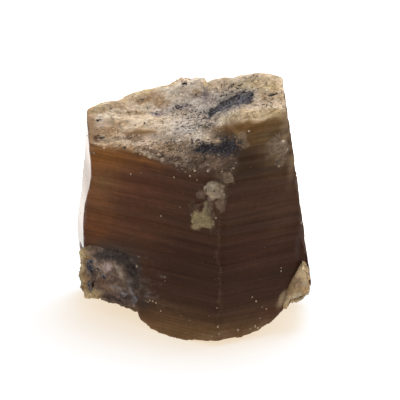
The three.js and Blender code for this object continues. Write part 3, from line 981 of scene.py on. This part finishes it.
# White and black grains: their share, how strong their tone is, and the tone.
WHITE_SHARE, WHITE_STRENGTH, WHITE_GRAIN = 0.03, 0.6, (232, 224, 210)
BLACK_SHARE, BLACK_STRENGTH, BLACK_GRAIN = 0.04, 0.8, PIT_TONE
GRAIN_ZONES = dict(
    middle=(198, 118, 30, 26), front=(185, 160, 45, 10, -8), right_corner=(272, 95, 12, 14),
)


def crystal_grains(points, normals, tones, rough, dark, crust):
    """Small crystals on the broken top and the crusts, a few of them white or black."""
    rng = np.random.default_rng(7)
    zone = 0.25 + eased(points, GRAIN_ZONES, soft=1.4)
    weights = zone * smooth(0.5, 0.9, rough) * smooth(0.5, 0.3, dark)
    index, sizes, shades = drawn_grains(rng, weights, CRYSTAL_GRAINS, 0.07, tones, lighter=0.02)
    white = (rng.random(CRYSTAL_GRAINS) < WHITE_SHARE) * (1 - crust[index])
    shades = mixed(shades, WHITE_GRAIN, WHITE_STRENGTH * white)
    black = rng.random(CRYSTAL_GRAINS) < BLACK_SHARE
    shades = mixed(shades, BLACK_GRAIN, BLACK_STRENGTH * black)
    return grain_mesh("crystal_grains", points[index], normals[index], sizes, shades, rng)


# Pale specks on the faces: pixels of the view and size in millimetres.
SPECKS = (
    (131, 174, 0.16), (141, 173, 0.1), (174, 177, 0.1), (161, 216, 0.16), (180, 207, 0.08),
    (97, 250, 0.2), (110, 251, 0.2), (137, 266, 0.2), (139, 257, 0.1), (165, 277, 0.14),
    (165, 281, 0.12), (256, 301, 0.2), (252, 297, 0.12), (281, 268, 0.12), (281, 271, 0.12),
    (260, 318, 0.16), (238, 330, 0.2), (217, 308, 0.1), (218, 327, 0.16), (156, 303, 0.2),
    (161, 311, 0.12), (301, 223, 0.2), (216, 218, 0.14), (214, 222, 0.12), (249, 131, 0.2),
    (150, 157, 0.36), (158, 155, 0.3), (162, 160, 0.28), (187, 161, 0.3), (195, 171, 0.24),
    (233, 168, 0.2), (140, 154, 0.16), (104, 148, 0.16), (94, 153, 0.16), (113, 144, 0.16),
    (178, 155, 0.2), (208, 171, 0.18), (222, 172, 0.2), (283, 141, 0.22), (287, 149, 0.2),
    (197, 180, 0.12), (190, 176, 0.14), (181, 316, 0.1), (209, 316, 0.1), (190, 320, 0.1),
    (203, 334, 0.14), (212, 336, 0.14), (219, 334, 0.16), (186, 333, 0.12), (192, 337, 0.12),
    (250, 329, 0.16), (255, 326, 0.22), (258, 328, 0.16), (262, 323, 0.12), (266, 309, 0.12),
    (262, 307, 0.1), (150, 300, 0.16), (153, 301, 0.14), (148, 302, 0.12), (218, 326, 0.2),
)
SPECK_TONE = (192, 168, 144)
# Smaller ones in a band along the front edge: its middle and spread, and its upper and lower end.
EDGE_SPECKS = 26
EDGE_X, EDGE_SPREAD = 218.5, 2.2
EDGE_ENDS = (214, 332)
EDGE_SIZES = (0.03, 0.09)
EDGE_TONE = (130, 108, 92)
FACE_DUST = 260
DUST_SIZES = (0.04, 0.07)
DUST_TONE = (116, 94, 74)
DUST_SHADES = (0.8, 1.1)


def dust_piece(points, normals, level):
    """Pale specks on the faces, more of them along the front edge, and fine dust all round."""
    rng = np.random.default_rng(11)
    spots = [(*spot_at(x, y), size) for x, y, size in SPECKS]
    for _ in range(EDGE_SPECKS):
        spot = spot_at(rng.normal(EDGE_X, EDGE_SPREAD), rng.uniform(*EDGE_ENDS))
        spots.append((*spot, rng.uniform(*EDGE_SIZES)))
    dust = scattered(rng, level, FACE_DUST)
    spots += zip(points[dust], normals[dust], rng.uniform(*DUST_SIZES, FACE_DUST))
    places, outward, sizes = (np.array(part) for part in zip(*spots))
    counts = (len(SPECKS), EDGE_SPECKS, FACE_DUST)
    pale = np.repeat([SPECK_TONE, EDGE_TONE, DUST_TONE], counts, axis=0)
    tones = pale * rng.uniform(*DUST_SHADES, len(pale))[:, None]
    mesh = grain_mesh("dust", places, outward, sizes, tones, rng)
    finish_piece("dust", mesh, grain_material("dust", roughness=0.6, specular=0.2), slot="parisite")


# ---- the matrix

MATRIX_VOXEL = 0.13
MATRIX_GRAINS = 450
# How far a lump is grown towards the crystal in millimetres, its patches' sizes and seeds, and
# how much lighter its edges are.
SEAM_CLOSE = 0.35
MATRIX_PATCHES = ((1.2, 51), (1.0, 55))
EDGE_LIFT = 0.15

# Each lump's three tones, and what lies on them.
LEFT_GROUND = ((112, 90, 77), (132, 112, 97), (92, 74, 64))
LEFT_WASHES = dict(
    rim=Wash(
        (170, 146, 106), 0.95, 0.7, upper=(82, 254, 10, 12, -8), lower=(81, 278, 7, 18, 4),
        corner=(91, 294, 10, 5, -4),
    ),
    rust=Wash((136, 100, 64), 0.75, lower=(85, 274, 2.5, 13, -2), upper=(87, 262, 2, 6)),
    rim_edge=Wash(
        (192, 168, 130), 0.75, 0.7, upper=(81.5, 262, 2.2, 16), foot=(86, 296, 7, 2.5, -6),
    ),
    ridge=Wash((146, 130, 112), 0.9, 0.5, at=(119, 271, 3.5, 10, 24)),
    facets=Wash((172, 152, 143), 0.9, 0.5, left=(93.5, 277, 3.2, 4), right=(107, 268, 5, 4)),
    # Painted shade along the lump's top edge, where it meets the crystal.
    painted_shade_top=Wash((66, 57, 53), 0.95, 0.5, top=(106, 256, 13, 4.5, -4), right=(121, 258, 8, 6, -30)),
    cleft=Wash((104, 90, 82), 0.85, upper=(90, 268, 5, 7, 20), lower=(91, 285, 3.5, 7)),
    crease=Wash((150, 130, 114), 0.85, 0.5, at=(98, 267, 1.5, 11, 28)),
    halo=Wash(
        (60, 48, 43), 0.95, 0.8, foot=(130, 298, 12, 4, -22), bottom=(116, 300, 14, 2.5, -14),
        edge=(127, 306, 14, 3, -16),
    ),
    side=Wash((74, 62, 55), 0.95, 0.5, at=(133, 270, 7, 24, 4)),
    seam=Wash((60, 50, 45), 0.8, 0.6, at=(128, 267, 3, 13, 20)),
    # Painted shade under the crystal's edge, on top of the lump.
    under_the_top=Wash((76, 64, 58), 0.9, 0.5, at=(118, 252, 16, 3, -12)),
    orange=Wash((118, 86, 62), 0.6, right=(108, 288, 9, 2, -3), left=(101, 283, 6, 3)),
    # Painted glints: bluish-white streaks that stand in for highlights low on the lump.
    painted_glint_streaks=Wash(
        (140, 134, 134), 0.85, edge=(130, 290, 1.6, 8, 14), upper=(118, 288, 7, 1.3, -16),
        foot=(134, 301, 2.4, 4, 30), middle=(123, 294, 6, 1.4, -20),
    ),
)
LEFT_DARK_MARKS = dict(
    pit=(90.5, 268, 3, 7, 16), pit_top=(90, 261, 2.4, 2.2), pit_foot=(89.5, 286, 2, 5, 6),
    second_pit=(103, 276, 2, 1.6, -30), third_pit=(98, 270, 1.3, 4, 40),
)
LEFT_RELIEF = dict(
    top=(0.35, 86, 250, 9, 6), corner=(-0.5, 82, 286, 6, 7, 0, 2.0),
    right=(-0.4, 136, 274, 5, 22, 6), foot=(-0.32, 106, 299, 10, 3, -8),
    seam=(0.2, 112, 250, 14, 3, -8), cleft=(0.25, 92, 277, 3, 7),
)
RIGHT_GROUND = ((170, 142, 105), (196, 172, 134), (150, 121, 90))
RIGHT_WASHES = dict(
    tip=Wash((214, 188, 148), 0.85, 1.0, at=(306.5, 274, 4, 11)),
    inner_edge=Wash((72, 52, 42), 0.95, 0.6, at=(295.5, 270.5, 3.4, 10, -27)),
    streak=Wash((178, 158, 132), 0.9, at=(284, 299, 3, 11, -18)),
    hollow=Wash((124, 100, 70), 0.85, 0.8, at=(290, 288, 2.6, 7, -24)),
    pink=Wash((152, 124, 102), 0.7, 1.0, at=(297, 280, 3.5, 4)),
    foot=Wash((196, 160, 114), 0.8, at=(305, 289, 4, 3)),
    cream=Wash((200, 182, 156), 0.8, lower=(297, 297, 6, 2.5, 10), upper=(305, 283, 3, 2.5)),
)
RIGHT_RELIEF = dict(underside=(-0.4, 298, 300, 10, 3.5, 16))

# How far the front and the top of the right lump reach outwards: height and greatest x.
RIGHT_REACH = (
    (1.0, 11.2), (1.6, 11.6), (2.6, 11.85), (4.3, 11.75), (5.1, 11.55), (5.7, 11.2), (7.0, 11.0),
)
REACH_SHARE = 0.85
REACH_FRONT = (-1.2, -2.6)
REACH_TOP = (4.6, 5.4)


def matrix_tones(points, ground, washes, convex):
    """The screen colour of each vertex, paler on edges, with painted shade in creases."""
    colours = patchy(points, ground, MATRIX_PATCHES, strength=1, edge=0.4)
    colours = washed(colours, wobbled(points, seed=57), washes)
    lift = 1 + EDGE_LIFT * smooth(0.03, 0.15, convex)
    # Painted shade in creases.
    lift -= CREVICE_SHADE * smooth(*CREVICE_DEPTHS, convex)
    return colours * lift[:, None]


def drawn_in(points, reach):
    """Points brought back towards the reach, at the front and at the top."""
    heights, limits = zip(*reach)
    beyond = np.maximum(points[:, 0] - np.interp(points[:, 2], heights, limits), 0)
    front = smooth(*REACH_FRONT, points[:, 1])
    held = np.maximum(front, smooth(*REACH_TOP, points[:, 2]))
    return points - (REACH_SHARE * held * beyond)[:, None] * EYE_RIGHT


def lump_relief(points, reliefs, facing_out, inner, dark):
    """How far each vertex is raised, in millimetres. Dips are kept to the outer side."""
    out = SEAM_CLOSE * inner
    out += 0.08 * fractal(points, 0.9, seed=21) + 0.03 * noise(points, 0.3, seed=25)
    raised = relief_of(points, reliefs)
    out += np.where(raised < 0, smooth(0.2, 0.6, facing_out), 1) * raised
    return out - DARK_DIP * smooth(*DARK_EDGE, dark)


def matrix_pieces(node, slot, mottled, ground, washes, dark_marks, reliefs, reach, seed):
    """A lump of matrix, grown up to the crystal so that no seam is left, and its grains."""
    mesh = remeshed(welded_copy(node), MATRIX_VOXEL)
    points, normals, edges = measured(mesh)
    facing_out = np.sum(normals * unit(points * (1, 1, 0)), axis=1)
    facing_back = smooth(0.65, 0.9, normals[:, 1])
    inner = np.maximum(smooth(0.5, -0.2, facing_out), 0.7 * facing_back)
    dark = marked(wobbled(points, seed=59), dark_marks)
    out = lump_relief(points, reliefs, facing_out, inner, dark)
    moved = points + out[:, None] * normals
    if reach:
        moved = drawn_in(moved, reach)
    moved[:, 2] = np.maximum(moved[:, 2], 0)
    tones = matrix_tones(points, ground, washes, convexity(moved, normals, edges))
    rng = np.random.default_rng(seed)
    weights = (1 - inner) * (1 - 0.6 * smooth(0.4, 0.6, dark))
    index, sizes, shades = drawn_grains(rng, weights, MATRIX_GRAINS, 0.12, tones)
    places = moved[index] - GRAIN_SINK * sizes[:, None] * normals[index]
    grains = grain_mesh(node + "_grains", places, normals[index], sizes, shades, rng)
    dress(mesh, moved, tones, dark=dark)
    finish_piece(node + "_surface", mesh, matrix_material(node, mottled), node=node)
    finish_piece(node + "_grains", grains, grain_material(node + "_grain"), slot=slot)


# ---- the studio

# The floor glows like a light table. Its glow is warm and the light that falls on it is cool in
# its colour, so that together they're white and the shadow is warm. It glows more behind the
# crystal, where the smooth left face mirrors it.
FLOOR_SIZE = 2.0
FLOOR_GLOW = (0.81, 0.66, 0.48, 1)
FLOOR_COLOUR = (0.24, 0.40, 0.60, 1)
FLOOR_ROUGHNESS = 0.9
BRIGHT_RANGE = (4.0, 28.0)
BRIGHT_GLOW = 1.85
WORLD_STRENGTH = 0.45
# Each light's energy in watts and its place in metres. All look at the crystal.
LIGHT_SIZE = 0.3
LIGHTS = dict(
    overhead=(1.9, (0.1, 0.2, 0.46)), left=(0.18, (-0.4, -0.15, 0.25)),
    right=(0.3, (0.4, 0.05, 0.28)),
)


def make_floor():
    bpy.ops.mesh.primitive_plane_add(size=FLOOR_SIZE)
    floor = bpy.context.object
    floor.name = "floor"
    shade = Shade("floor", Emission_Color=FLOOR_GLOW, Specular_IOR_Level=0.0)
    depth = shade.node("SeparateXYZ", {0: shade.place}, "Y")
    glow = shade.between(depth, *BRIGHT_RANGE, 1.0, BRIGHT_GLOW)
    shade.connect(glow, shade.shader.inputs["Emission Strength"])
    floor.data.materials.append(shade.finished(FLOOR_COLOUR, FLOOR_ROUGHNESS))


def make_light(name, energy, place):
    data = bpy.data.lights.new(name, "AREA")
    data.size = LIGHT_SIZE
    data.energy = energy
    light = placed(name, data)
    light.location = place
    light.rotation_euler = Vector(place).to_track_quat("Z", "Y").to_euler()


def make_world():
    world = bpy.data.worlds.new("studio")
    world.use_nodes = True
    background = world.node_tree.nodes["Background"]
    background.inputs["Color"].default_value = (1, 1, 1, 1)
    background.inputs["Strength"].default_value = WORLD_STRENGTH
    bpy.context.scene.world = world
    bpy.context.scene.view_settings.view_transform = "Standard"


make_camera()
make_floor()
make_world()
for name, (energy, place) in LIGHTS.items():
    make_light(name, energy, place)
crystal_pieces()
matrix_pieces(
    "matrix_left", "dark_matrix", mottled=0.3, ground=LEFT_GROUND, washes=LEFT_WASHES,
    dark_marks=LEFT_DARK_MARKS, reliefs=LEFT_RELIEF, reach=(), seed=3,
)
matrix_pieces(
    "matrix_right", "pale_matrix", mottled=0.18, ground=RIGHT_GROUND, washes=RIGHT_WASHES,
    dark_marks={}, reliefs=RIGHT_RELIEF, reach=RIGHT_REACH, seed=4,
)
